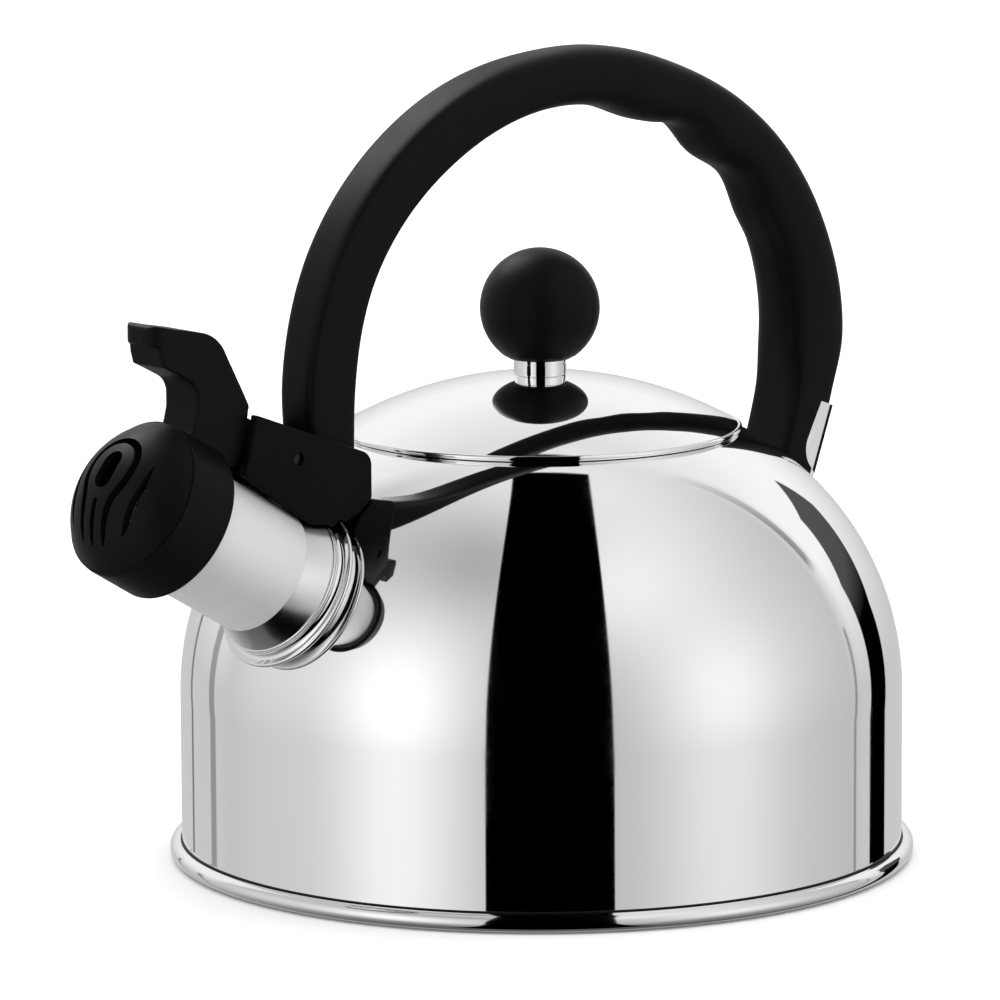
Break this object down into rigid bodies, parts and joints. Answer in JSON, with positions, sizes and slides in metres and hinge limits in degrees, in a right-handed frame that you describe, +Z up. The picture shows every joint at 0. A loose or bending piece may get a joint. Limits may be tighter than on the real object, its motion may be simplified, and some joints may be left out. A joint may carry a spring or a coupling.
{
  "type": "stovetop whistling kettle",
  "caption": "Domed steel stovetop kettle with an arched black handle, a lift-off lid with a round knob, and a spout closed by a hinged whistle cap.",
  "frame": {"origin": "centre of the flat base face, where the kettle stands", "axes": "+Z up along the body's axis; the spout points along -X and the handle arches over the lid in the XZ plane; +Y is the kettle's left side seen from the handle's rear end looking towards the spout"},
  "size_m": [0.246, 0.19, 0.2061],
  "materials": {
    "polished_steel": "mirror-polished stainless steel",
    "satin_steel": "satin stainless steel",
    "spring_steel": "drawn spring wire",
    "spreader_aluminium": "plain rolled sheet",
    "black_phenolic": "soft matte moulded",
    "seal_silicone": "matte silicone",
    "insert_brass": "turned"
  },
  "bodies": {
    "kettle": {"body_shell": "polished_steel", "base_pan": "polished_steel", "heat_spreader": "spreader_aluminium", "base_cap": "satin_steel", "spout_tube": "satin_steel", "spout_collar": "polished_steel", "front_strap": "satin_steel", "rear_strap": "polished_steel", "hinge_bracket": "black_phenolic", "handle_grip": "black_phenolic", "front_handle_screw": "satin_steel", "rear_handle_screw": "satin_steel", "hinge_pin": "satin_steel", "torsion_spring": "spring_steel"},
    "whistle": {"whistle_cap": "black_phenolic", "cap_dome": "black_phenolic", "cap_seal": "seal_silicone", "whistle_cup": "satin_steel", "whistle_disc": "satin_steel"},
    "lid": {"lid_shell": "polished_steel", "lid_sleeve": "polished_steel", "knob_ferrule": "polished_steel", "lid_knob": "black_phenolic", "knob_insert": "insert_brass", "knob_screw": "satin_steel", "knob_washer": "satin_steel"}
  },
  "joints": [
    {"name": "cap_hinge", "type": "hinge", "parent": "kettle", "child": "whistle", "pos_m": [-0.0874, 0, 0.1127], "axis": [0, 1, 0], "range_deg": [0, 50], "stiffness_Nm_per_rad": 0.05, "springref_deg": -20.05},
    {"name": "lid_lift", "type": "slide", "parent": "kettle", "child": "lid", "axis": [0, 0, 1], "range_m": [0, 0.033]}
  ]
}
